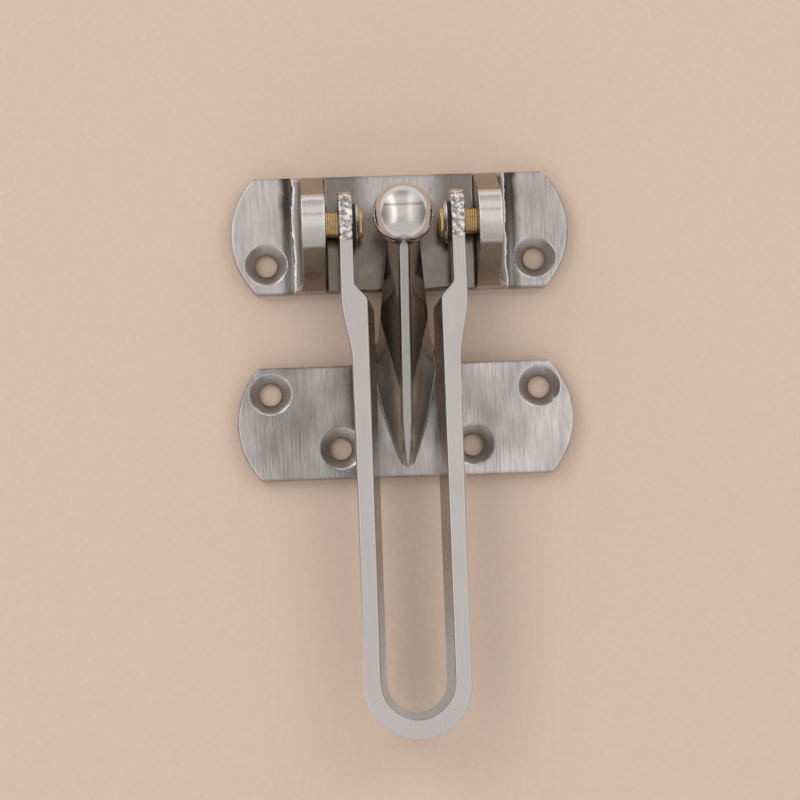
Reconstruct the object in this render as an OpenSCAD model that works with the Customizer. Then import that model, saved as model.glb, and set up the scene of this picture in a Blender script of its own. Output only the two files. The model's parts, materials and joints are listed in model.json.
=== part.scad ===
// Swing-bar door guard: a hinge bracket, a U-shaped bar that swings on it and a keeper
// whose ball runs in the bar's slot. Millimetres.
// The frame is the mounting plane: +Z points away from the door, +X runs along the pivot
// axis, and +Y points from the bar's closed end to its pivot. The origin is the point of
// the hinge bracket's mounting face that lies under the middle of the pivot axis.

/* [Plates] */
// Thickness of both mounting plates
plate_t = 3.0; // [2.6:0.1:4]
// Radius of the plates' rounded ends
plate_end_r = 15; // [12.8:0.2:20]
// Chamfer round the plates' front edges
plate_chamfer = 0.25; // [0.15:0.05:0.6]
// Diameter of the screw holes
screw_d = 3.9; // [3.2:0.1:4.6]
// Diameter of the countersinks at the front face
sink_d = 7.8; // [7:0.1:8.4]

/* [Hinge bracket] */
// Width of the bracket's plate
bracket_w = 62.2; // [57:0.1:76]
// Height of the bracket's plate
bracket_h = 21.4; // [19:0.1:25]
// How far the plate's middle sits below the pivot axis
bracket_drop = 0.8; // [0:0.1:1.6]
// Distance between the bracket's two screws
bracket_screw_span = 49.4; // [46.4:0.1:60]
// How far the bracket's screws sit below the plate's middle
bracket_screw_drop = 5.3; // [4.5:0.1:6]
// Width of each knuckle
knuckle_w = 4.3; // [3.9:0.1:5]
// Radius of the knuckles' round crown
knuckle_r = 5.6; // [5:0.1:7]
// Height of the crown's centre over the pivot axis
crown_rise = 2; // [1:0.1:2.6]
// Radius of the hollow between each wing and its knuckle
wing_fillet_r = 2.6; // [1.5:0.1:3]

/* [Pivot] */
// Height of the pivot axis over the mounting plane
pivot_z = 9.5; // [9:0.1:11]
// Diameter of the pins' shanks
pin_d = 4.6; // [3.4:0.1:4.8]
// Diameter of the pins' heads
pin_head_d = 5.4; // [5.2:0.1:6]
// Thickness of the pins' heads
pin_head_t = 0.9; // [0.7:0.1:1]
// Depth of each pin in its knuckle
pin_seat = 3.6; // [2.6:0.1:3.7]
// Thickness of the dark flat washers
flat_washer_t = 0.5; // [0.4:0.1:0.7]
// Diameter of the dark flat washers
flat_washer_d = 7.4; // [6.8:0.1:8.4]
// Depth of the cup washers, along the pivot
cup_depth = 0.65; // [0.5:0.05:0.9]
// Diameter of the cup washers' broad rim
cup_d = 7.9; // [7.6:0.1:8.6]

/* [Swing bar] */
// Distance from the pivot axis to the bar's closed end
bar_l = 93.2; // [77:0.1:112]
// Thickness of the bar
bar_t = 6.1; // [5:0.1:6.6]
// Height of the bar's front face over the pivot axis
bar_rise = 4.6; // [3.9:0.1:4.8]
// Width across the bar at its ears
ear_span = 22.8; // [22:0.1:27.4]
// Thickness of each ear
ear_t = 2.5; // [2.3:0.1:3.4]
// Radius of the ears round the pivot
ear_r = 6; // [5.4:0.1:6.4]
// Width across the bar below its taper
shank_span = 19.4; // [18.8:0.1:21]
// Width across the bar at its closed end
tip_span = 19; // [18.4:0.1:20.4]
// Where the taper starts, below the pivot axis
taper_start = 13.3; // [12.8:0.1:16]
// Where the taper ends, below the pivot axis
taper_end = 26.2; // [23:0.1:32]
// Width of the slot at the front face
slot_front_w = 13.3; // [13:0.1:14.4]
// Width of the slot at the back face
slot_back_w = 10.6; // [10:0.1:10.7]
// Metal left at the closed end, at the front face
tip_wall = 3.55; // [3:0.1:5]
// Where the window between the ears starts to close, below the pivot axis
window_end = 11.5; // [11:0.1:12.6]
// Length of the window's sloping corners, along the bar
window_slope = 4.6; // [3.5:0.1:6]

/* [Keeper] */
// Width of the keeper's plate
keeper_w = 61.6; // [55:0.1:76]
// Height of the keeper's plate
keeper_h = 20.6; // [19:0.1:24]
// Distance from the pivot axis to the middle of the keeper's plate
keeper_drop = 35.4; // [32:0.1:42]
// Distance between the two outer screws
outer_screw_span = 49.3; // [45:0.1:60]
// Height of the outer screws over the plate's middle
outer_screw_rise = 5.5; // [4:0.1:5.8]
// Distance between the two inner screws
inner_screw_span = 24.2; // [23.5:0.1:28]
// How far the inner screws sit below the plate's middle
inner_screw_drop = 4.8; // [4:0.1:5.6]
// Diameter of the ball
ball_d = 11; // [10.9:0.1:11.6]
// Height of the ball's middle over the mounting plane
ball_z = 20; // [19.8:0.1:24]
// Distance from the plate's lower edge to the stem's pointed foot
stem_foot = 1.9; // [1:0.1:3]
// Width of the rib along the stem
rib_w = 1.7; // [1.2:0.1:2.2]
// How far the rib stands out of the stem
rib_t = 0.4; // [0.3:0.1:0.8]
// Width of the stem under the ball
neck_w = 6; // [5:0.1:7]
// Width of the stem where it leaves the plate
root_w = 10.6; // [9.6:0.1:11.4]
// Radius in plan where the plate's upper edge runs into the stem
root_fillet_r = 6; // [4:0.1:7]
// Radius of the stem's bowed flanks
flank_r = 18.9; // [17:0.1:24]

/* [Clearances] */
// Radial clearance of the pins in the ears
running_clear = 0.05; // [0.03:0.01:0.08]
// Radial clearance of the pins in the knuckles
seat_clear = 0.02; // [0.01:0.01:0.04]
// Gap between neighbouring washers, and between them and the ears
face_clear = 0.05; // [0.03:0.01:0.1]

/* [Hidden] */
$fn = 96;
eps = 0.01;

nickel = [0.72, 0.69, 0.67];
brass = [0.78, 0.64, 0.36];
dark = [0.16, 0.15, 0.14];

// Stations along the pivot axis, as distances from the middle
ear_outer = ear_span / 2;
ear_inner = ear_outer - ear_t;
knuckle_inner = ear_outer + 2.4;
knuckle_outer = knuckle_inner + knuckle_w;
flat_washer_x = ear_inner - face_clear - flat_washer_t;
cup_rim_x = flat_washer_x - face_clear;
cup_mouth_x = cup_rim_x - cup_depth;
cup_floor_t = 0.35;
head_seat_x = cup_rim_x - cup_floor_t - face_clear;
head_inner_x = head_seat_x - pin_head_t;
pin_end_x = knuckle_inner + pin_seat;
pin_r = pin_d / 2;
washer_bore_r = pin_r + running_clear;

// Heights of the bar and of the crowns' centre
crown_z = pivot_z + crown_rise;
bar_front_z = pivot_z + bar_rise;
bar_back_z = bar_front_z - bar_t;

// Closed end of the bar and of its slot
tip_r = tip_span / 2;
tip_y = -(bar_l - tip_r);
slot_end_y = -(bar_l - tip_wall - slot_front_w / 2);

// Keeper
keeper_y = -keeper_drop;
keeper_top_y = keeper_y + keeper_h / 2;
foot_y = keeper_y - keeper_h / 2 + stem_foot;
stem_run = -foot_y;
stem_angle = atan2(ball_z - plate_t, stem_run);
slope_l = norm([stem_run, ball_z - plate_t]);
rib_tip_l = 8.6;
neck_y = -ball_d / 2 + 0.6;
under_z = 1;
ball_under_z = ball_z - ball_d / 2 + 0.6;

// A profile in Y and Z, extruded along X from x0 to x1
module along_x(x0, x1) {
    translate([x0, 0, 0]) rotate([90, 0, 90]) linear_extrude(x1 - x0) children();
}

// Does the same thing at +X and, mirrored, at -X
module both_sides() {
    children();
    mirror([1, 0, 0]) children();
}

// A mounting plate with round ends and chamfered front edges, centred on the origin
module plate(w, h) {
    c = plate_chamfer;
    end_x = w / 2 - plate_end_r;
    intersection() {
        along_x(-w / 2, w / 2) polygon([
            [-h / 2, 0], [h / 2, 0], [h / 2, plate_t - c],
            [h / 2 - c, plate_t], [-h / 2 + c, plate_t], [-h / 2, plate_t - c]
        ]);
        union() {
            translate([-end_x, -h, 0]) cube([2 * end_x, 2 * h, plate_t]);
            both_sides() translate([end_x, 0, 0]) {
                cylinder(h = plate_t - c, r = plate_end_r);
                translate([0, 0, plate_t - c]) cylinder(h = c, r1 = plate_end_r, r2 = plate_end_r - c);
            }
        }
    }
}

// The cut for one countersunk screw, centred on its axis
module screw_cut() {
    sink_depth = (sink_d - screw_d) / 2;
    translate([0, 0, -1]) cylinder(h = plate_t + 2, d = screw_d);
    translate([0, 0, plate_t - sink_depth])
        cylinder(h = sink_depth + eps, d1 = screw_d, d2 = sink_d + 2 * eps);
    translate([0, 0, plate_t]) cylinder(h = 2, d = sink_d);
}

// Where the line from a foot of the knuckle, out along Y and up, touches its crown
function crown_touch(out, up) =
    let (turn = acos(knuckle_r / norm([out, up - crown_z])) + atan2(up - crown_z, out))
    [knuckle_r * cos(turn), crown_z + knuckle_r * sin(turn)];

// Side view of a knuckle: a round crown whose flanks run down to the plate's edges
module knuckle_profile() {
    foot_z = plate_t - plate_chamfer;
    up = crown_touch(bracket_h / 2 - bracket_drop, foot_z);
    down = crown_touch(bracket_h / 2 + bracket_drop, foot_z);
    upper = bracket_h / 2 - bracket_drop;
    lower = -bracket_h / 2 - bracket_drop;
    translate([0, crown_z]) circle(r = knuckle_r);
    polygon([
        [lower, 0], [upper, 0], [upper, foot_z], up, [-down[0], down[1]], [lower, foot_z]
    ]);
}

// The hollow that runs up from a wing to its knuckle's outer side
module wing_hollow() {
    r = wing_fillet_r;
    intersection() {
        along_x(knuckle_outer - eps, knuckle_outer + r) knuckle_profile();
        rotate([90, 0, 0]) linear_extrude(2 * bracket_h, center = true) difference() {
            translate([knuckle_outer - eps, plate_t - plate_chamfer])
                square([r + eps, r + plate_chamfer]);
            translate([knuckle_outer + r, plate_t + r]) circle(r = r);
        }
    }
}

module hinge_bracket() {
    color(nickel) difference() {
        union() {
            translate([0, -bracket_drop, 0]) plate(bracket_w, bracket_h);
            both_sides() {
                along_x(knuckle_inner, knuckle_outer) knuckle_profile();
                wing_hollow();
            }
        }
        both_sides() {
            translate([bracket_screw_span / 2, -bracket_drop - bracket_screw_drop, 0]) screw_cut();
            translate([knuckle_inner - 1, 0, pivot_z]) rotate([0, 90, 0])
                cylinder(h = pin_seat + 1.2, r = pin_r + seat_clear);
        }
    }
}

// Half width of the bar at a distance below the pivot axis, along its smooth taper
function taper(d) =
    let (t = (d - taper_start) / (taper_end - taper_start))
    ear_span / 2 - (ear_span - shank_span) / 4 * (1 - cos(180 * t));

// Plan of the bar's outside, from the pivot axis to the closed end
module bar_outline() {
    steps = 12;
    side = [for (i = [0:steps])
        let (d = taper_start + (taper_end - taper_start) * i / steps) [taper(d), -d]];
    both_sides() polygon(concat([[0, 0], [ear_outer, 0]], side, [[tip_r, tip_y], [0, tip_y]]));
    translate([0, tip_y]) circle(r = tip_r);
}

// The window between the ears, which lets the ball through
module window_cut() {
    end_x = slot_back_w / 2 - 0.4;
    end_y = -window_end - window_slope;
    translate([0, 0, bar_back_z - 1]) linear_extrude(bar_t + 2) polygon([
        [-ear_inner, ear_r + 1], [ear_inner, ear_r + 1], [ear_inner, -window_end],
        [end_x, end_y], [-end_x, end_y], [-ear_inner, -window_end]
    ]);
}

// The slot, whose walls slope in from the front face to the back face
module slot_cut() {
    slope = (slot_front_w - slot_back_w) / 2 / bar_t;
    over = 1;
    front = slot_front_w / 2 + slope * over;
    back = slot_back_w / 2 - slope * over;
    deep = bar_t + 2 * over;
    translate([0, -window_end, 0]) rotate([90, 0, 0]) linear_extrude(-window_end - slot_end_y)
        translate([0, bar_back_z - over])
            polygon([[-back, 0], [back, 0], [front, deep], [-front, deep]]);
    translate([0, slot_end_y, bar_back_z - over]) cylinder(h = deep, r1 = back, r2 = front);
}

module swing_bar() {
    color(nickel) difference() {
        union() {
            difference() {
                translate([0, 0, bar_back_z]) linear_extrude(bar_t) bar_outline();
                window_cut();
                slot_cut();
            }
            both_sides() translate([ear_inner, 0, pivot_z]) rotate([0, 90, 0])
                cylinder(h = ear_t, r = ear_r);
        }
        translate([-ear_outer - 1, 0, pivot_z]) rotate([0, 90, 0])
            cylinder(h = ear_span + 2, r = pin_r + running_clear);
    }
}

// Side view of the stem: its rib rises from the foot, its underside from the plate's edge
module stem_profile() {
    polygon([
        [foot_y, 0], [foot_y, plate_t], [0, ball_z], [0, ball_under_z],
        [keeper_top_y, under_z], [keeper_top_y, 0]
    ]);
}

// Plan of the stem, from its broad root to its neck
module stem_plan() {
    polygon([
        [-neck_w / 2, 0], [-neck_w / 2, neck_y], [-root_w / 2, keeper_top_y],
        [-keeper_h / 2, foot_y - 1], [keeper_h / 2, foot_y - 1],
        [root_w / 2, keeper_top_y], [neck_w / 2, neck_y], [neck_w / 2, 0]
    ]);
}

// Section across the stem, with Y as the depth below the line of its crest: two bowed
// flanks that meet in a narrow crest
module stem_section() {
    crest = rib_w / 2 + 0.05;
    bow_y = 14;
    bow_x = crest - sqrt(flank_r * flank_r - bow_y * bow_y);
    intersection() {
        translate([-root_w, 0]) square([2 * root_w, bow_y]);
        translate([bow_x, bow_y]) circle(r = flank_r);
        translate([-bow_x, bow_y]) circle(r = flank_r);
    }
}

// Moves what runs up along Z, with depth along Y, onto the slope of the stem
module on_slope() {
    translate([0, foot_y, plate_t]) rotate([stem_angle - 90, 0, 0]) children();
}

// The rib along the crest, pointed at its foot
module rib() {
    on_slope() translate([0, 0.3, 0]) rotate([90, 0, 0]) linear_extrude(rib_t + 0.3) polygon([
        [0, 0], [rib_w / 2, rib_tip_l], [rib_w / 2, slope_l],
        [-rib_w / 2, slope_l], [-rib_w / 2, rib_tip_l]
    ]);
}

module stem() {
    intersection() {
        along_x(-keeper_h, keeper_h) stem_profile();
        linear_extrude(ball_z + 1) stem_plan();
        on_slope() translate([0, 0, -10]) linear_extrude(slope_l + 20) stem_section();
    }
    rib();
}

// Plan of the corner where the plate's upper edge sweeps up into the stem
module root_corner() {
    r = root_fillet_r;
    side_x = root_w / 2 - 0.6;
    difference() {
        translate([0, keeper_top_y - plate_chamfer - eps]) square([side_x + r, r]);
        translate([side_x + r, keeper_top_y + r]) circle(r = r);
        translate([0, keeper_top_y + 0.7 * r]) square([side_x + r, r]);
    }
}

module keeper() {
    color(nickel) difference() {
        union() {
            translate([0, keeper_y, 0]) plate(keeper_w, keeper_h);
            intersection() {
                linear_extrude(plate_t) both_sides() root_corner();
                along_x(-keeper_w / 2, keeper_w / 2) stem_profile_root();
            }
            stem();
            translate([0, 0, ball_z]) sphere(d = ball_d);
        }
        translate([0, keeper_y, 0]) both_sides() {
            translate([outer_screw_span / 2, outer_screw_rise, 0]) screw_cut();
            translate([inner_screw_span / 2, -inner_screw_drop, 0]) screw_cut();
        }
    }
}

// Side view of the root's corner, which thins out under the rising stem
module stem_profile_root() {
    reach = root_fillet_r;
    polygon([
        [keeper_y, 0], [keeper_top_y, 0], [keeper_top_y + reach, plate_t - 0.6],
        [keeper_top_y + reach, plate_t], [keeper_y, plate_t]
    ]);
}

// A pin along +X: head towards the middle, shank through the ear into the knuckle
module pivot_pin() {
    tip_c = 0.4;
    color(brass) translate([0, 0, pivot_z]) rotate([0, 90, 0]) {
        translate([0, 0, head_inner_x]) cylinder(h = pin_head_t, d = pin_head_d);
        translate([0, 0, head_seat_x - eps])
            cylinder(h = pin_end_x - head_seat_x - tip_c + eps, r = pin_r);
        translate([0, 0, pin_end_x - tip_c]) cylinder(h = tip_c, r1 = pin_r, r2 = pin_r - tip_c);
    }
}

// A cup washer along +X: a flat floor against the flat washer and a coned wall round the head
module cup_washer() {
    mouth_r = pin_head_d / 2 + 0.1;
    color(nickel) translate([0, 0, pivot_z]) rotate([0, 90, 0]) rotate_extrude() polygon([
        [washer_bore_r, cup_rim_x], [cup_d / 2, cup_rim_x], [cup_d / 2, cup_rim_x - 0.15],
        [mouth_r + 0.2, cup_mouth_x], [mouth_r, cup_mouth_x],
        [mouth_r, cup_rim_x - cup_floor_t], [washer_bore_r, cup_rim_x - cup_floor_t]
    ]);
}

module flat_washer() {
    color(dark) translate([flat_washer_x, 0, pivot_z]) rotate([0, 90, 0]) difference() {
        cylinder(h = flat_washer_t, d = flat_washer_d);
        translate([0, 0, -1]) cylinder(h = flat_washer_t + 2, r = washer_bore_r);
    }
}

hinge_bracket();
swing_bar();
keeper();
mirror([1, 0, 0]) pivot_pin();  // pivot_pin_left
pivot_pin();  // pivot_pin_right
mirror([1, 0, 0]) cup_washer();  // cup_washer_left
cup_washer();  // cup_washer_right
mirror([1, 0, 0]) flat_washer();  // flat_washer_left
flat_washer();  // flat_washer_right
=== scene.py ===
"""Looks for a swing-bar door guard: three satin nickel castings, two brass pivot pins and
their washers, on a plain pale floor. Lengths are in metres."""
import json
import math

import bmesh
import bpy
from bpy.props import FloatProperty, FloatVectorProperty, IntProperty, PointerProperty
from mathutils import Matrix, Vector, noise


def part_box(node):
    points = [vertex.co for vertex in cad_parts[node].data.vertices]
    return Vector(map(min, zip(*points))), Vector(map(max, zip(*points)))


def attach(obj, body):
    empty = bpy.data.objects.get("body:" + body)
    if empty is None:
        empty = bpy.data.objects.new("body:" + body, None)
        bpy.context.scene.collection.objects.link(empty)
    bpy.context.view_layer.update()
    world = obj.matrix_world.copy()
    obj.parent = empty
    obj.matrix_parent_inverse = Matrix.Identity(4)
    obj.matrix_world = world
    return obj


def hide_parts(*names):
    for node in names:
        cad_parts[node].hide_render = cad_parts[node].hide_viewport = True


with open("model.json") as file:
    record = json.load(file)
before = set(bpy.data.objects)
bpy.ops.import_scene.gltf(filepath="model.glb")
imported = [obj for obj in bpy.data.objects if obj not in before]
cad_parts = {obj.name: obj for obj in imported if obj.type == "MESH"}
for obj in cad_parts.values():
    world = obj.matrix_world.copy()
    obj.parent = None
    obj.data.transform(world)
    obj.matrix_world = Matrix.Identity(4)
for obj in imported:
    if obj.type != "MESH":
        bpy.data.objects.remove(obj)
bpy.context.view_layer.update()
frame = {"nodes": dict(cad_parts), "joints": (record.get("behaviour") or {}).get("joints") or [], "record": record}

bl_info = {
    "name": "Swing-bar door guard",
    "version": (1, 0, 0),
    "blender": (4, 5, 0),
    "location": "View3D > Sidebar > Door Guard",
    "description": "Builds the castings, pins and washers of a swing-bar door guard",
    "category": "Object",
}

MM = 0.001
PIVOT = next(j for j in frame["joints"] if j["name"] == "bar_swing")
PIVOT_Y, PIVOT_Z = PIVOT["pos_m"][1:]
BALL_Z = 20.0 * MM           # height of the ball's centre
PLATE_T = 3.0 * MM           # thickness of both plates
KNUCKLE_IN = 13.8 * MM       # a knuckle's inner face, from the middle
KNUCKLE_OUT = 18.1 * MM      # a knuckle's outer face, from the middle
HOLLOW = 2.6 * MM            # radius of the hollow where a wing meets its knuckle
CROWN_HALF = 4.9 * MM        # half the crown's width along Y
SINK_R = 3.95 * MM           # reach of a countersink and its softened edge
BORE_R = 2.35 * MM           # radius of the washers' bores
SHANK_R = 2.3 * MM           # radius of the pins' shanks
MOUNTS = {m["name"]: m for m in frame["record"]["mounts"]}
SIDES = {"left": -1, "right": 1}


# ---------------------------------------------------------------- settings

def length(name, description, default):
    """A length that a user can change."""
    return FloatProperty(name=name, description=description, default=default, min=0, unit="LENGTH",
                         precision=5)


def colour(name, description, default):
    """A colour that a user can change."""
    return FloatVectorProperty(name=name, description=description, default=default, size=3,
                               min=0, max=1, subtype="COLOR")


def factor(name, description, default):
    """A share from 0 to 1 that a user can change."""
    return FloatProperty(name=name, description=description, default=default, min=0, max=1,
                         subtype="FACTOR")


class GUARD_PG_stage(bpy.types.PropertyGroup):
    """The camera, the floor and the light."""
    distance: length("Camera distance", "From the camera to the guard", 0.5)
    lens: FloatProperty(name="Lens", description="Focal length in millimetres", default=123)
    yaw: FloatProperty(name="Yaw", description="How far to the left the camera stands",
                       default=math.radians(2.4), subtype="ANGLE")
    pitch: FloatProperty(name="Pitch", description="How far below the middle the camera stands",
                         default=math.radians(5), subtype="ANGLE")
    roll: FloatProperty(name="Roll", description="How far the guard turns anticlockwise in view",
                        default=math.radians(2.05), subtype="ANGLE")
    floor_size: length("Floor size", "Side of the square floor", 4)
    floor: colour("Floor", "Colour of the plain floor", (0.585, 0.450, 0.362))
    far_floor: colour("Far floor", "Colour that the floor fades to, away from the guard",
                      (0.80, 0.79, 0.78))
    backdrop: colour("Backdrop", "Colour behind the floor", (0.86, 0.84, 0.82))


class GUARD_PG_finish(bpy.types.PropertyGroup):
    """Colours and roughness of the finishes."""
    nickel: colour("Satin nickel", "Colour of the castings", (0.565, 0.535, 0.525))
    plate: colour("Brushed plates", "Colour of the two mounting plates", (0.50, 0.47, 0.46))
    # painted shade and reflection: a brown that stands in for the card reflected in the knuckles' steep flanks and
    # the bar's slot walls, and for the shade on the crowns' lower side and deep in the countersinks
    painted_brown_shade: colour("Flanks", "Colour of the steep flanks that no belt reaches",
                  (0.36, 0.30, 0.235))
    # painted shade: a dark colour that stands in for the shade in the recess by the knuckles, in the wings' dark
    # bands and on the keeper's stem
    painted_dark_shade: colour("Tarnish", "Colour of the metal in corners and hollows", (0.215, 0.18, 0.155))
    # also the colour of the painted highlights on the wings' ridges and the countersinks' rims
    bright: colour("Bright nickel", "Colour of the cup washers", (0.78, 0.74, 0.71))
    brass: colour("Brass", "Colour of the pivot pins", (0.72, 0.50, 0.24))
    dark: colour("Dark washer", "Colour of the flat washers", (0.022, 0.02, 0.018))
    satin: factor("Satin", "Roughness of brushed faces", 0.33)
    polish: factor("Polish", "Roughness of polished faces", 0.14)


class GUARD_PG_casting(bpy.types.PropertyGroup):
    """How the castings are worn and rounded."""
    voxel: length("Grain", "Size of the grid that rounds the castings", 0.22 * MM)
    smooth: IntProperty(name="Smoothing", description="Passes that round the edges", default=2,
                        min=0)
    hammer_depth: length("Hammer depth", "Depth of the ears' hammered texture", 0.21 * MM)
    hammer_size: length("Hammer size", "Width of one hammer mark", 1.0 * MM)


class GUARD_PG_pin(bpy.types.PropertyGroup):
    """The turned form of the pins."""
    pitch: length("Pitch", "Distance between the shank's turned ridges", 0.4 * MM)
    ridge: length("Ridge", "Depth of the shank's turned ridges", 0.09 * MM)
    steps: IntProperty(name="Steps", description="Steps round each turned piece", default=96,
                       min=12)


class GUARD_PG_settings(bpy.types.PropertyGroup):
    """Everything that a user would change."""
    stage: PointerProperty(type=GUARD_PG_stage)
    finish: PointerProperty(type=GUARD_PG_finish)
    casting: PointerProperty(type=GUARD_PG_casting)
    pin: PointerProperty(type=GUARD_PG_pin)


def settings():
    """The scene's own settings."""
    return bpy.context.scene.door_guard


# ---------------------------------------------------------------- materials

class Nodes:
    """A short way to build one material's nodes."""

    def __init__(self, name):
        self.material = bpy.data.materials.new(name)
        self.material.use_nodes = True
        self.tree = self.material.node_tree
        self.shader = self.tree.nodes["Principled BSDF"]
        coords = self.tree.nodes.new("ShaderNodeTexCoord")
        self.place = coords.outputs["Object"]

    def add(self, kind, values=(), **inputs):
        """A node of this kind with its properties and inputs set."""
        node = self.tree.nodes.new("ShaderNode" + kind)
        for key, value in dict(values).items():
            setattr(node, key, value)
        for key, value in inputs.items():
            self.put(value, node.inputs[key.replace("_", " ")])
        return node

    def put(self, value, socket):
        """Links a socket, or sets a plain value."""
        if isinstance(value, bpy.types.NodeSocket):
            self.tree.links.new(value, socket)
        else:
            socket.default_value = value

    def math(self, operation, a, b=0.0, c=0.0):
        """One sum on numbers."""
        node = self.tree.nodes.new("ShaderNodeMath")
        node.operation = operation
        for value, socket in zip((a, b, c), node.inputs):
            self.put(value, socket)
        return node.outputs[0]

    def remap(self, value, low, high, to_low, to_high):
        """A value moved from one range to another, and kept in it."""
        node = self.tree.nodes.new("ShaderNodeMapRange")
        for v, socket in zip((value, low, high, to_low, to_high), node.inputs):
            self.put(v, socket)
        return node.outputs[0]

    def noise(self, scale, detail=3.0, stretch=(1, 1, 1), turn=(0, 0, 0), roughness=0.55):
        """Noise in the piece's own space, stretched and turned."""
        mapping = self.add("Mapping", Vector=self.place, Scale=stretch, Rotation=turn)
        node = self.add("TexNoise", Vector=mapping.outputs[0], Scale=scale, Detail=detail,
                        Roughness=roughness)
        return node.outputs["Fac"]

    def axes(self):
        """The piece's own X, Y and Z at each point."""
        return self.add("SeparateXYZ", Vector=self.place).outputs[:]

    def scaled(self, base, amount):
        """A colour times a number."""
        node = self.tree.nodes.new("ShaderNodeVectorMath")
        node.operation = "SCALE"
        if not isinstance(base, bpy.types.NodeSocket):
            base = base[:3]
        self.put(base, node.inputs[0])
        self.put(amount, node.inputs["Scale"])
        return node.outputs[0]

    def mix(self, share, a, b):
        """A blend of two colours."""
        node = self.tree.nodes.new("ShaderNodeMix")
        node.data_type = "RGBA"
        for value, key in ((share, 0), (a, 6), (b, 7)):
            self.put(value, node.inputs[key])
        return node.outputs[2]

    def bump(self, height, distance, strength=1.0, under=None):
        """Fine relief of that depth."""
        node = self.add("Bump", Height=height, Distance=distance, Strength=strength)
        if under is not None:
            self.put(under, node.inputs["Normal"])
        return node.outputs[0]

    def finish(self, base, roughness, normal, metallic=1.0):
        """Wires the shader and gives the material."""
        self.put(base, self.shader.inputs["Base Color"])
        self.put(roughness, self.shader.inputs["Roughness"])
        self.put(metallic, self.shader.inputs["Metallic"])
        self.put(normal, self.shader.inputs["Normal"])
        return self.material


def shade(colour_value, share):
    """A colour made lighter or darker, with alpha."""
    return (*[min(1.0, c * share) for c in colour_value], 1.0)


def mixed(a, b):
    """The colour halfway between two."""
    return [(c + d) / 2 for c, d in zip(a, b)]


def satin_metal(name, base, roughness, stretch, depth=0.004 * MM, streak=0.12, wave=0.5 * MM):
    """Brushed metal: fine scratches along the short side of stretch, over a face that the
    polishing belt left slightly wavy."""
    n = Nodes(name)
    return satin_finish(n, base, roughness, stretch, depth, streak, wave)


def satin_finish(n, base, roughness, stretch, depth, streak, wave, under=None):
    """The brushed finish on a material's nodes, whose base may be a socket or a colour."""
    scratch = n.noise(1.0, 4.0, stretch)
    fine = n.noise(1.0, 2.0, [s * 2.7 for s in stretch])
    cloud = n.noise(160, 3.0)
    mark = n.math("ADD", n.math("MULTIPLY", scratch, 0.6), n.math("MULTIPLY", fine, 0.4))
    tone = n.scaled(base, n.remap(mark, 0.3, 0.7, 1 - streak, 1 + streak))
    rough = n.math("ADD", n.remap(mark, 0.3, 0.7, -0.05, 0.06),
                   n.math("ADD", roughness, n.remap(cloud, 0.3, 0.7, -0.04, 0.04)))
    swell = n.noise(95, 1.0, (1, 0.6, 1))
    return n.finish(tone, rough, n.bump(mark, depth, 1.0, n.bump(swell, wave, 1.0, under)))


def uneven(n, base, low=0.66, high=1.2):
    """A base colour that a belt left darker and lighter in long slow patches."""
    patch = n.noise(1.0, 2.0, (95, 60, 60), (0, 0, 0.12))
    return n.scaled(base, n.remap(patch, 0.36, 0.64, low, high))


def brushed_plate(name, f):
    """The keeper's brushed plate, in long uneven strokes of the belt, with painted shade towards its left end and
    painted light towards its right.
    """
    n = Nodes(name)
    x, y, z = n.axes()
    # painted light and shade: darker towards the left end, lighter towards the right
    tone = n.scaled(uneven(n, f.plate), n.remap(x, -26 * MM, 24 * MM, 0.8, 1.08))
    return satin_finish(n, tone, f.satin - 0.03, (3600, 170, 900), 0.006 * MM, 0.3, 0.9 * MM)


def recess_with_painted_shade(name, f, edge):
    """The polished floor between the knuckles: painted shade darkens it near the knuckles and away from its free
    edge, and painted light brightens it along that edge."""
    n = Nodes(name)
    x, y, z = n.axes()
    broad = n.noise(110, 2.0)
    wipe = n.noise(1.0, 3.0, (2600, 500, 900), (0, 0, 0.2))
    # painted light along the free edge and painted shade near the knuckles, with random lighter patches
    top = n.remap(n.math("ADD", y, n.math("MULTIPLY", broad, 6 * MM)), edge - 1.5 * MM,
                  edge + 2.5 * MM, 0, 1)
    middle = n.remap(n.math("ABSOLUTE", x), 5 * MM, 8.5 * MM, 1.0, 0.12)
    light = n.math("MULTIPLY", top, middle)
    light = n.math("MAXIMUM", light, n.remap(broad, 0.52, 0.75, 0, 0.3))
    tone = n.mix(light, shade(f.painted_dark_shade, 0.95), shade(f.nickel, 0.95))
    tone = n.scaled(tone, n.remap(wipe, 0.3, 0.7, 0.9, 1.1))
    rough = n.remap(wipe, 0.3, 0.7, f.polish, f.polish + 0.06)
    return n.finish(tone, rough, n.bump(wipe, 0.002 * MM))


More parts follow.
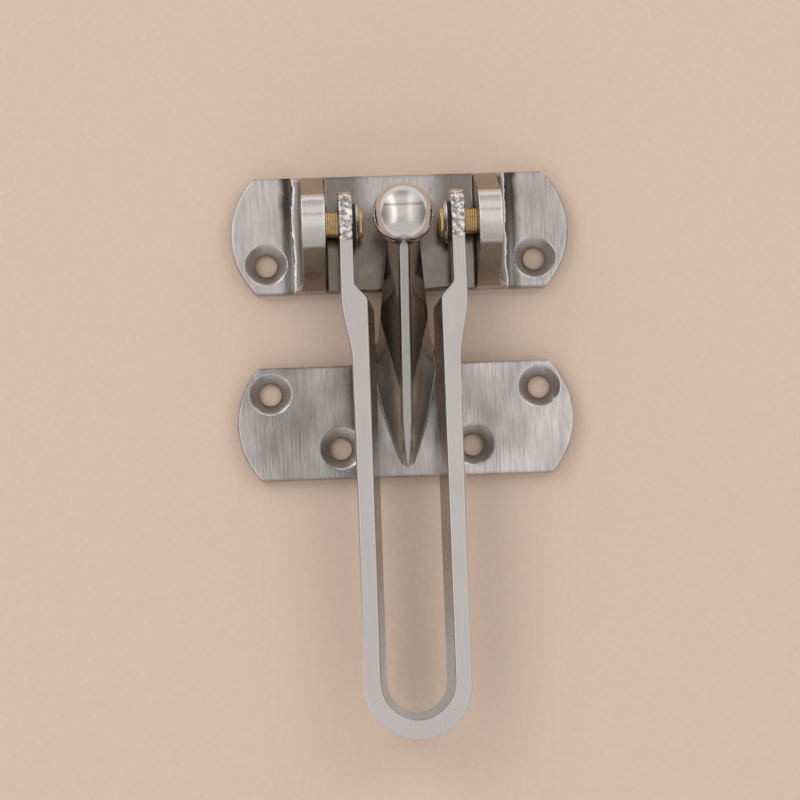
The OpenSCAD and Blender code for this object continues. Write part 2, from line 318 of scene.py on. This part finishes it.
def wings_with_painted_shade(name, f):
    """A bracket wing's brushed face, polished where it runs into its knuckle, with a painted dark reflection
    there, strongest at the top, beside a painted highlight on the ridge.
    """
    n = Nodes(name)
    x, y, z = n.axes()
    ragged = n.math("MULTIPLY", n.math("SUBTRACT", n.noise(330, 4.0), 0.5), 1.3 * MM)
    out = n.math("ADD", n.math("SUBTRACT", n.math("ABSOLUTE", x), KNUCKLE_OUT), ragged)
    # painted shade: a dark band in the hollow beside the knuckle, in the dark painted-shade colour
    dark = n.math("MULTIPLY", n.remap(out, 0.58 * HOLLOW, 0.66 * HOLLOW, 0, 1),
                  n.remap(out, 1.15 * HOLLOW, 1.6 * HOLLOW, 1, 0))
    # painted highlight: a bright line along the ridge, which the bump also raises a little
    ridge = n.math("MULTIPLY", n.remap(out, 0.44 * HOLLOW, 0.54 * HOLLOW, 0, 1),
                   n.remap(out, 0.58 * HOLLOW, 0.64 * HOLLOW, 1, 0))
    # the painted dark band fades towards the bottom
    low = n.remap(y, -9 * MM, 4 * MM, 0.7, 1.0)
    tone = n.mix(n.math("MULTIPLY", dark, low), uneven(n, shade(f.plate, 1.05), 0.86, 1.14),
                 shade(f.painted_dark_shade, 0.3))
    tone = n.mix(n.math("MULTIPLY", ridge, 0.8), tone, shade(f.bright, 1.1))
    rough = n.math("SUBTRACT", f.satin, n.math("MULTIPLY", dark, f.satin - f.polish))
    return satin_finish(n, tone, rough, (3600, 150, 900), 0.006 * MM, 0.28, 0.9 * MM,
                        n.bump(ridge, 0.12 * MM))


def crown_metal(name, f):
    """A knuckle's belt-finished crown, a lighter copy of the nickel as painted light on top, with painted shade,
    browner, on the bar's side.
    """
    n = Nodes(name)
    x, y, z = n.axes()
    # painted shade on the crown's side towards the bar, with a ragged edge
    painted_side_shade = n.remap(n.math("ADD", y, n.math("MULTIPLY", n.noise(300, 3.0), 1.2 * MM)),
                   -4.4 * MM, -0.2 * MM, 1, 0)
    # painted light: the top is a lighter copy of the nickel; the side towards the bar mixes in the brown painted
    # shade
    tone = n.mix(painted_side_shade, shade(f.nickel, 1.32), n.mix(0.6, shade(f.painted_brown_shade, 1.0), shade(f.nickel, 0.8)))
    return satin_finish(n, tone, f.satin - 0.13, (2600, 300, 300), 0.001 * MM, 0.06, 0.0)


def bored_metal(name, f, place):
    """The turned rings of a countersink and its bore, mirrored about the middle, with painted shade deep in the
    hole and a painted highlight on the rim's lower side.
    """
    n = Nodes(name)
    x, y, z = n.axes()
    dx = n.math("SUBTRACT", n.math("ABSOLUTE", x), abs(place.x))
    dy = n.math("SUBTRACT", y, place.y)
    radius = n.math("SQRT", n.math("ADD", n.math("MULTIPLY", dx, dx), n.math("MULTIPLY", dy, dy)))
    ring = n.add("TexNoise", {"noise_dimensions": "1D"}, W=radius, Scale=5200.0, Detail=3.0)
    cloud = n.noise(500, 3.0)
    # painted shade: darker towards the bottom of the hole
    painted_hole_shade = n.remap(radius, 1.7 * MM, 3.4 * MM, 0.62, 0.2)
    # painted highlight: a bright ring on the rim, strongest on its lower side
    rim = n.math("MULTIPLY", n.remap(radius, 3.35 * MM, 3.6 * MM, 0, 0.8),
                 n.remap(dy, -1 * MM, -3 * MM, 0.15, 1))
    tone = n.mix(painted_hole_shade, shade(f.nickel, 0.95), shade(f.painted_brown_shade, 0.85))
    tone = n.mix(rim, tone, shade(f.bright, 1.15))
    tone = n.scaled(tone, n.remap(ring.outputs["Fac"], 0.3, 0.7, 0.82, 1.12))
    rough = n.remap(cloud, 0.3, 0.7, f.polish + 0.04, f.polish + 0.14)
    return n.finish(tone, rough, n.bump(ring.outputs["Fac"], 0.02 * MM))


def polished_metal(name, base, roughness, low=0.94, high=1.03):
    """Polished metal with faint wiping marks, small pits and slow changes of tone."""
    n = Nodes(name)
    cloud = n.noise(220, 4.0)
    broad = n.noise(75, 2.0)
    wipe = n.noise(1.0, 3.0, (3000, 500, 900), (0, 0, 0.3))
    tone = n.mix(n.remap(broad, 0.35, 0.65, 0, 1), shade(base, low), shade(base, high))
    rough = n.math("ADD", n.remap(cloud, 0.3, 0.7, roughness - 0.03, roughness + 0.05),
                   n.remap(wipe, 0.4, 0.7, 0, 0.05))
    return n.finish(tone, rough, n.bump(cloud, 0.01 * MM, 1.0, n.bump(wipe, 0.002 * MM)))


def hammered_metal(name, base, roughness):
    """Bright cast skin, with small dents on top of the modelled ones."""
    n = Nodes(name)
    dents = n.add("TexVoronoi", {"feature": "SMOOTH_F1"}, Vector=n.place, Scale=1900.0,
                  Smoothness=0.6)
    grain = n.noise(5200, 4.0)
    patch = n.noise(1100, 3.0)
    tone = n.mix(n.remap(patch, 0.42, 0.58, 0, 1), shade(base, 0.42), shade(base, 1.2))
    rough = n.remap(grain, 0.3, 0.7, roughness - 0.04, roughness + 0.12)
    relief = n.bump(grain, 0.02 * MM, 1.0, n.bump(dents.outputs["Distance"], 0.09 * MM))
    return n.finish(tone, rough, relief)


def turned_brass(name, base):
    """Lacquered brass with turning marks, lighter and darker in random patches."""
    n = Nodes(name)
    ring = n.noise(1.0, 2.0, (9000, 300, 300))
    cloud = n.noise(700, 3.0)
    tone = n.mix(n.remap(cloud, 0.3, 0.7, 0, 1), shade(base, 0.72), shade(base, 1.08))
    rough = n.remap(ring, 0.3, 0.7, 0.2, 0.36)
    return n.finish(tone, rough, n.bump(ring, 0.006 * MM))


def dark_polymer(name, base):
    """Matt dark washer stock."""
    n = Nodes(name)
    grain = n.noise(3500, 4.0)
    tone = n.mix(n.remap(grain, 0.3, 0.7, 0, 1), shade(base, 0.7), shade(base, 1.5))
    return n.finish(tone, n.remap(grain, 0.3, 0.7, 0.45, 0.62), n.bump(grain, 0.01 * MM), 0.0)


def plain_floor(name, base, far):
    """Pale matt card with a very faint fibre, on a lighter table that only the metal shows."""
    n = Nodes(name)
    fibre = n.noise(900, 5.0)
    x, y, z = n.axes()
    out = n.math("MAXIMUM", n.remap(y, -78 * MM, -62 * MM, 1, 0),
                 n.remap(y, 38 * MM, 48 * MM, 0, 1))
    seen = n.tree.nodes.new("ShaderNodeLightPath").outputs["Is Camera Ray"]
    hidden = n.math("MULTIPLY", out, n.math("SUBTRACT", 1.0, seen))
    tone = n.mix(hidden, shade(base, 1.0), shade(far, 1.0))
    tone = n.scaled(tone, n.remap(fibre, 0.3, 0.7, 0.97, 1.03))
    return n.finish(tone, n.remap(fibre, 0.3, 0.7, 0.78, 0.86), n.bump(fibre, 0.03 * MM), 0.0)


# ---------------------------------------------------------------- meshes

def new_piece(name, bm):
    """A finished object at the origin from a bmesh."""
    mesh = bpy.data.meshes.new(name)
    bm.to_mesh(mesh)
    bm.free()
    piece = bpy.data.objects.new(name, mesh)
    bpy.context.scene.collection.objects.link(piece)
    return piece


def apply_modifiers(piece):
    """Makes the modifiers' result the piece's own mesh."""
    graph = bpy.context.evaluated_depsgraph_get()
    mesh = bpy.data.meshes.new_from_object(piece.evaluated_get(graph))
    piece.modifiers.clear()
    old = piece.data
    piece.data = mesh
    mesh.name = piece.name
    bpy.data.meshes.remove(old)


def cast_copy(name, node):
    """A copy of a CAD node whose edges are rounded as a tumbled casting's are."""
    s = settings().casting
    bm = bmesh.new()
    bm.from_mesh(frame["nodes"][node].data)
    bmesh.ops.remove_doubles(bm, verts=bm.verts, dist=0.001 * MM)
    piece = new_piece(name, bm)
    remesh = piece.modifiers.new("grain", "REMESH")
    remesh.mode = "VOXEL"
    remesh.voxel_size = s.voxel
    smooth = piece.modifiers.new("edges", "SMOOTH")
    smooth.factor = 0.5
    smooth.iterations = s.smooth
    apply_modifiers(piece)
    piece.data.materials.clear()
    return piece


def finish_piece(piece, node, body, materials, choose=None):
    """Gives a piece its materials and shading, hides the CAD node that it stands in for, and puts it in its body.
    """
    for material in materials:
        piece.data.materials.append(material)
    for face in piece.data.polygons:
        face.use_smooth = True
        if choose is not None:
            face.material_index = choose(face.center, face.normal)
    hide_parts(node)
    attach(piece, body)
    return piece


def in_bore(place, screws):
    """Whether a point lies in a screw hole, left or right, under the plate's front face."""
    flat = Vector((abs(place.x), place.y))
    return 0.1 * MM < place.z < PLATE_T - 0.06 * MM and any(
        (flat - screw.xy).length < SINK_R for screw in screws)


def turned(name, profile, steps):
    """A closed profile of (station along X, radius) points, spun round the pivot axis."""
    bm = bmesh.new()
    ring = [bm.verts.new((x, PIVOT_Y, PIVOT_Z + r)) for x, r in profile]
    edges = [bm.edges.new((a, b)) for a, b in zip(ring, ring[1:] + ring[:1])]
    bmesh.ops.spin(bm, geom=ring + edges, cent=(0, PIVOT_Y, PIVOT_Z), axis=(1, 0, 0),
                   angle=math.tau, steps=steps, use_merge=True)
    bmesh.ops.remove_doubles(bm, verts=bm.verts, dist=0.0005 * MM)
    bmesh.ops.recalc_face_normals(bm, faces=bm.faces)
    return new_piece(name, bm)


def arc(cx, cy, r, start, end, count=5):
    """Points on an arc, in degrees."""
    turn = [math.radians(start + (end - start) * i / count) for i in range(count + 1)]
    return [(cx + r * math.cos(a), cy + r * math.sin(a)) for a in turn]


def across(points, side):
    """A profile moved to one side of the guard, in the order that keeps it closed."""
    return [(side * x, r) for x, r in points]


# ---------------------------------------------------------------- operators

class GUARD_OT_stage(bpy.types.Operator):
    """Set up the camera, the floor and the light"""
    bl_idname = "door_guard.stage"
    bl_label = "Stage"

    def execute(self, context):
        s = settings().stage
        self.camera(context, s)
        self.floor(context, s)
        self.lights(context)
        self.world(context, s)
        context.scene.view_settings.view_transform = "Standard"
        return {"FINISHED"}

    def camera(self, context, s):
        """A long lens that looks down at the mounting plane."""
        target = Vector((-1.05 * MM, -31.7 * MM, 3 * MM))
        back = Vector((-math.tan(s.yaw), -math.tan(s.pitch), 1)).normalized()
        up = Vector((math.sin(s.roll), math.cos(s.roll), 0))
        right = up.cross(back).normalized()
        up = back.cross(right)
        data = bpy.data.cameras.new("camera")
        data.lens = s.lens
        data.sensor_width = 36
        data.clip_start = 0.01
        data.clip_end = 20
        camera = bpy.data.objects.new("camera", data)
        turn = Matrix((right, up, back)).transposed().to_4x4()
        camera.matrix_world = Matrix.Translation(target + back * s.distance) @ turn
        context.scene.collection.objects.link(camera)
        context.scene.camera = camera

    def floor(self, context, s):
        """One flat square just under the mounting plane."""
        bm = bmesh.new()
        bmesh.ops.create_grid(bm, x_segments=2, y_segments=2, size=s.floor_size / 2)
        bmesh.ops.translate(bm, verts=bm.verts, vec=(0, 0, -0.05 * MM))
        floor = new_piece("floor", bm)
        floor.data.materials.append(plain_floor("floor_card", s.floor, s.far_floor))

    def lights(self, context):
        """Two soft boxes, left and right of the top, and a broad fill from below."""
        boxes = (
            ("box_left", (-0.55, 0.45, 0.75), 0.5, 0.6, 1.95),
            ("box_right", (0.6, 0.4, 0.7), 0.4, 0.6, 1.35),
            ("fill_low", (0.0, -0.9, 0.6), 1.2, 0.8, 1.75),
        )
        for name, place, width, height, power in boxes:
            data = bpy.data.lights.new(name, "AREA")
            data.shape = "RECTANGLE"
            data.size = width
            data.size_y = height
            data.energy = power
            light = bpy.data.objects.new(name, data)
            light.visible_glossy = False
            aim = Vector((0, -0.03, 0)) - Vector(place)
            turn = aim.to_track_quat("-Z", "Y").to_matrix().to_4x4()
            light.matrix_world = Matrix.Translation(place) @ turn
            context.scene.collection.objects.link(light)

    def world(self, context, s):
        """A studio that is even below, with two lamps and a dark seam above, plain where the
        camera sees it."""
        world = bpy.data.worlds.new("studio")
        world.use_nodes = True
        context.scene.world = world
        tree = world.node_tree
        tree.nodes.clear()
        link = tree.links.new
        coords = tree.nodes.new("ShaderNodeTexCoord").outputs["Generated"]
        split = tree.nodes.new("ShaderNodeSeparateXYZ")
        link(coords, split.inputs[0])

        def ramp(value, stops):
            """Grey levels along a value from -1 to 1."""
            remap = tree.nodes.new("ShaderNodeMapRange")
            link(value, remap.inputs[0])
            remap.inputs[1].default_value = -1
            node = tree.nodes.new("ShaderNodeValToRGB")
            while len(node.color_ramp.elements) < len(stops):
                node.color_ramp.elements.new(0.5)
            for element, (at, level) in zip(node.color_ramp.elements, stops):
                element.position = (at + 1) / 2
                element.color = (level, level * 0.985, level * 0.97, 1)
            link(remap.outputs[0], node.inputs[0])
            return node.outputs[0]

        def times(a, b, share):
            """One colour times a share of another."""
            node = tree.nodes.new("ShaderNodeMix")
            node.data_type = "RGBA"
            node.blend_type = "MULTIPLY"
            link(share, node.inputs[0])
            link(a, node.inputs[6])
            link(b, node.inputs[7])
            return node.outputs[2]

        tent = ramp(split.outputs["Y"], (
            (-1.0, 0.86), (-0.62, 0.84), (-0.57, 0.92), (-0.42, 0.98), (-0.2, 1.12), (0.38, 1.15),
            (0.42, 0.62), (0.5, 0.62), (0.55, 1.15), (0.8, 1.15), (0.95, 0.8), (1.0, 0.7)))
        sides = ramp(split.outputs["X"], (
            (-1.0, 0.3), (-0.93, 0.5), (-0.78, 0.95), (-0.64, 1.7), (-0.5, 1.5), (-0.38, 0.9),
            (-0.1, 0.82), (0.15, 0.85), (0.3, 1.15), (0.42, 1.3), (0.6, 0.95), (0.8, 0.68),
            (0.93, 0.4), (1.0, 0.3)))
        upper = ramp(split.outputs["Y"], ((-1.0, 0.0), (-0.64, 0.0), (-0.56, 1.0), (1.0, 1.0)))
        light = times(tent, sides, upper)
        studio = tree.nodes.new("ShaderNodeBackground")
        link(light, studio.inputs[0])
        studio.inputs[1].default_value = 0.87
        plain = tree.nodes.new("ShaderNodeBackground")
        plain.inputs[0].default_value = (*s.backdrop, 1)
        path = tree.nodes.new("ShaderNodeLightPath")
        mix = tree.nodes.new("ShaderNodeMixShader")
        link(path.outputs["Is Camera Ray"], mix.inputs[0])
        link(studio.outputs[0], mix.inputs[1])
        link(plain.outputs[0], mix.inputs[2])
        out = tree.nodes.new("ShaderNodeOutputWorld")
        link(mix.outputs[0], out.inputs[0])


class GUARD_OT_bracket(bpy.types.Operator):
    """Build the hinge bracket: satin wings and crowns, polished middle"""
    bl_idname = "door_guard.bracket"
    bl_label = "Hinge bracket"

    def execute(self, context):
        f = settings().finish
        piece = cast_copy("bracket_casting", "hinge_bracket")
        screws = [Vector(MOUNTS["bracket_screws"]["pos_m"]) + Vector((self.span() / 2, 0, 0))]
        materials = [
            wings_with_painted_shade("nickel_wings", f),
            recess_with_painted_shade("nickel_recess", f, 6 * MM),
            crown_metal("nickel_crowns", f),
            bored_metal("nickel_bores", f, screws[0]),
            # painted reflection: the knuckles' steep flanks take the brown painted-shade colour
            polished_metal("nickel_flanks", f.painted_brown_shade, f.satin - 0.1, 0.85, 1.15),
        ]

        def choose(place, normal):
            if in_bore(place, screws):
                return 3
            if abs(place.x) < KNUCKLE_IN:
                return 1
            if place.z > 3.3 * MM and abs(place.x) < KNUCKLE_OUT + 0.05 * MM:
                return 2 if abs(place.y - PIVOT_Y) < CROWN_HALF else 4
            return 0
        finish_piece(piece, "hinge_bracket", "bracket", materials, choose)
        return {"FINISHED"}

    def span(self):
        """Distance between the bracket's two screws."""
        return MOUNTS["bracket_screws"]["dims"]["spacing_x_mm"] * MM


class GUARD_OT_bar(bpy.types.Operator):
    """Build the swing bar: satin faces and hammered ears"""
    bl_idname = "door_guard.bar"
    bl_label = "Swing bar"

    def execute(self, context):
        f = settings().finish
        s = settings().casting
        piece = cast_copy("bar_casting", "swing_bar")
        self.hammer(piece, s)
        materials = [
            satin_metal("nickel_bar", f.nickel, f.satin, (2600, 90, 900), 0.002 * MM, 0.03),
            hammered_metal("nickel_hammered", f.bright, f.polish),
            # painted reflection: the slot's walls mix the brown painted-shade colour into the nickel
            polished_metal("nickel_slot", mixed(f.painted_brown_shade, f.nickel), f.satin - 0.11, 0.85, 1.1),
        ]
        low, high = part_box("swing_bar")

        def choose(place, normal):
            if self.share(place) > 0.5 and abs(normal.x) < 0.7:
                return 1
            inside = abs(place.x) < 7.6 * MM and place.y > low.y + 3 * MM
            return 2 if inside and abs(normal.z) < 0.6 else 0
        finish_piece(piece, "swing_bar", "bar", materials, choose)
        return {"FINISHED"}

    def share(self, place):
        """How much of the hammered texture a point has: all of it on the ears' crowns."""
        low = PIVOT_Y - 3.7 * MM
        if place.z < PIVOT_Z - 1 * MM:
            return 0.0
        return min(1.0, max(0.0, (place.y - low) / (0.4 * MM)))

    def hammer(self, piece, s):
        """Dents the ears' crowns."""
        for v in piece.data.vertices:
            share = self.share(v.co)
            if share <= 0 or abs(v.normal.x) > 0.75:
                continue
            at = Vector((v.co.x / 1.8, v.co.y, v.co.z)) / s.hammer_size
            dent = noise.noise(at) + 0.5 * noise.noise(at * 2.3 + Vector((7, 3, 1)))
            crack = max(0.0, 1 - abs(noise.noise(at * 0.8 + Vector((3, 9, 5)))) * 9)
            v.co -= v.normal * s.hammer_depth * share * (0.5 + 0.6 * dent + 0.9 * crack)


class GUARD_OT_keeper(bpy.types.Operator):
    """Build the keeper: brushed plate, stem and ball"""
    bl_idname = "door_guard.keeper"
    bl_label = "Keeper"

    def execute(self, context):
        f = settings().finish
        piece = cast_copy("keeper_casting", "keeper")
        screws = []
        for name in ("keeper_outer_screws", "keeper_inner_screws"):
            mount = MOUNTS[name]
            half = mount["dims"]["spacing_x_mm"] * MM / 2
            screws.append(Vector(mount["pos_m"]) + Vector((half, 0, 0)))
        materials = [
            brushed_plate("nickel_plate", f),
            # painted shade: the whole stem takes the dark painted-shade colour
            polished_metal("nickel_stem", f.painted_dark_shade, f.polish + 0.02, 0.8, 1.6),
            # painted light: the ball is a lighter copy of the castings' nickel
            satin_metal("nickel_ball", shade(f.nickel, 1.14), f.satin - 0.2, (400, 3600, 3600),
                        0.0005 * MM, 0.03, 0.0),
            bored_metal("nickel_bores_outer", f, screws[0]),
            bored_metal("nickel_bores_inner", f, screws[1]),
        ]
        low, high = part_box("keeper")
        radius = high.z - BALL_Z
        ball = Vector((0, PIVOT_Y, BALL_Z))

        def choose(place, normal):
            if (place - ball).length < radius + 0.15 * MM:
                return 2
            for index, screw in enumerate(screws):
                if in_bore(place, [screw]):
                    return 3 + index
            return 1 if place.z > 3.05 * MM or place.y > low.y + 20.5 * MM else 0
        finish_piece(piece, "keeper", "keeper", materials, choose)
        self.crest(f, low.y + 1.9 * MM)
        return {"FINISHED"}

    def crest(self, f, foot_y):
        """The narrow rounded rib along the stem, from its pointed foot up to the ball."""
        run = Vector((0, PIVOT_Y - foot_y, BALL_Z - PLATE_T))
        length = run.length - 5 * MM
        bm = bmesh.new()
        bmesh.ops.create_cube(bm, size=1)
        bmesh.ops.scale(bm, verts=bm.verts, vec=(1.7 * MM, length, 1.2 * MM))
        bmesh.ops.translate(bm, verts=bm.verts, vec=(0, length / 2, -0.1 * MM))
        bmesh.ops.bisect_plane(bm, geom=bm.verts[:] + bm.edges[:] + bm.faces[:],
                               plane_co=(0, 8.6 * MM, 0), plane_no=(0, 1, 0))
        foot = [v for v in bm.verts if v.co.y < 0.1 * MM]
        bmesh.ops.scale(bm, verts=foot, vec=(0.35, 1, 1))
        along = [e for e in bm.edges if all(v.co.z > 0 for v in e.verts)]
        bmesh.ops.bevel(bm, geom=along, offset=0.8 * MM, offset_type="OFFSET", segments=8,
                        profile=0.5, affect="EDGES", clamp_overlap=True, material=-1)
        turn = Matrix.Rotation(math.atan2(run.z, run.y), 4, "X")
        bmesh.ops.transform(bm, matrix=Matrix.Translation((0, foot_y, PLATE_T)) @ turn,
                            verts=bm.verts)
        bmesh.ops.recalc_face_normals(bm, faces=bm.faces)
        rib = new_piece("stem_crest", bm)
        material = satin_metal("nickel_crest", shade(f.nickel, 0.88), f.polish + 0.03,
                               (1800, 90, 900), 0.0004 * MM, 0.05, 0.0)
        rib.data.materials.append(material)
        for face in rib.data.polygons:
            face.use_smooth = face.area < 1.6 * MM * MM
        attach(rib, "keeper")


class GUARD_OT_pins(bpy.types.Operator):
    """Turn the two brass pivot pins"""
    bl_idname = "door_guard.pins"
    bl_label = "Pivot pins"

    def execute(self, context):
        s = settings().pin
        brass = turned_brass("brass_pins", settings().finish.brass)
        for word, side in SIDES.items():
            node = f"pivot_pin_{word}"
            low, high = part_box(node)
            inner, outer = sorted((abs(low.x), abs(high.x)))
            head_r = (high.y - low.y) / 2
            profile = self.profile(inner, outer, head_r, s)
            piece = turned(f"pin_{word}", across(profile, side), s.steps)
            finish_piece(piece, node, "bracket", [brass])
        return {"FINISHED"}

    def profile(self, inner, outer, head_r, s):
        """Flat head with a round rim, then a shank of fine turned ridges."""
        head_t = 0.9 * MM
        rim = 0.22 * MM
        seat = inner + head_t
        points = [(inner, 0), (inner, head_r * 0.5)]
        points += [(x, r) for x, r in arc(inner + rim, head_r - rim, rim, 180, 90)]
        points += [(seat - 0.08 * MM, head_r), (seat, head_r - 0.08 * MM), (seat, SHANK_R)]
        x = seat + s.pitch / 2
        while x < outer - 0.5 * MM:
            points += [(x, SHANK_R), (x + s.pitch * 0.3, SHANK_R - s.ridge),
                       (x + s.pitch * 0.6, SHANK_R)]
            x += s.pitch
        points += [(outer - 0.4 * MM, SHANK_R), (outer, SHANK_R - 0.4 * MM), (outer, 0)]
        return points


class GUARD_OT_washers(bpy.types.Operator):
    """Turn the cup washers and the flat washers"""
    bl_idname = "door_guard.washers"
    bl_label = "Washers"

    def execute(self, context):
        f = settings().finish
        steps = settings().pin.steps
        bright = polished_metal("nickel_washers", f.bright, f.polish + 0.02)
        dark = dark_polymer("washer_dark", f.dark)
        for word, side in SIDES.items():
            node = f"cup_washer_{word}"
            piece = turned(f"cup_{word}", across(self.cup(*self.span(node)), side), steps)
            finish_piece(piece, node, "bracket", [bright])
            node = f"flat_washer_{word}"
            piece = turned(f"spacer_{word}", across(self.flat(*self.span(node)), side), steps)
            finish_piece(piece, node, "bracket", [dark])
        return {"FINISHED"}

    def span(self, node):
        """Inner and outer station along the pivot axis, and the radius, of a washer."""
        low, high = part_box(node)
        inner, outer = sorted((abs(low.x), abs(high.x)))
        return inner, outer, (high.y - low.y) / 2

    def cup(self, inner, outer, r):
        """A flat floor and a coned wall with a rolled rim."""
        mouth = 2.8 * MM
        floor = outer - 0.35 * MM
        lip = 0.08 * MM
        return [(outer, BORE_R), (outer, r - lip), *arc(outer - lip, r - lip, lip, 0, 90),
                (inner + lip, mouth + 0.2 * MM),
                *arc(inner + lip, mouth + 0.1 * MM, lip, 90, 270, 6),
                (floor, mouth + 0.05 * MM), (floor, BORE_R)]

    def flat(self, inner, outer, r):
        """A plain ring with softened corners."""
        c = 0.1 * MM
        return [(outer, BORE_R), (outer, r - c), *arc(outer - c, r - c, c, 0, 90, 3),
                *arc(inner + c, r - c, c, 90, 180, 3), (inner, BORE_R)]


class GUARD_PT_panel(bpy.types.Panel):
    """Lists the guard's builders"""
    bl_idname = "GUARD_PT_panel"
    bl_label = "Door Guard"
    bl_space_type = "VIEW_3D"
    bl_region_type = "UI"
    bl_category = "Door Guard"

    def draw(self, context):
        for operator in OPERATORS:
            self.layout.operator(operator.bl_idname)
        for group in ("stage", "finish", "casting", "pin"):
            box = self.layout.box()
            values = getattr(context.scene.door_guard, group)
            for key in values.__annotations__:
                box.prop(values, key)


OPERATORS = (GUARD_OT_stage, GUARD_OT_bracket, GUARD_OT_bar, GUARD_OT_keeper, GUARD_OT_pins,
             GUARD_OT_washers)
CLASSES = (GUARD_PG_stage, GUARD_PG_finish, GUARD_PG_casting, GUARD_PG_pin, GUARD_PG_settings,
           *OPERATORS, GUARD_PT_panel)


def register():
    for cls in CLASSES:
        bpy.utils.register_class(cls)
    bpy.types.Scene.door_guard = PointerProperty(type=GUARD_PG_settings)


def unregister():
    del bpy.types.Scene.door_guard
    for cls in reversed(CLASSES):
        bpy.utils.unregister_class(cls)


def main():
    register()
    bpy.ops.door_guard.stage()
    bpy.ops.door_guard.bracket()
    bpy.ops.door_guard.bar()
    bpy.ops.door_guard.keeper()
    bpy.ops.door_guard.pins()
    bpy.ops.door_guard.washers()


if __name__ == "__main__":
    main()
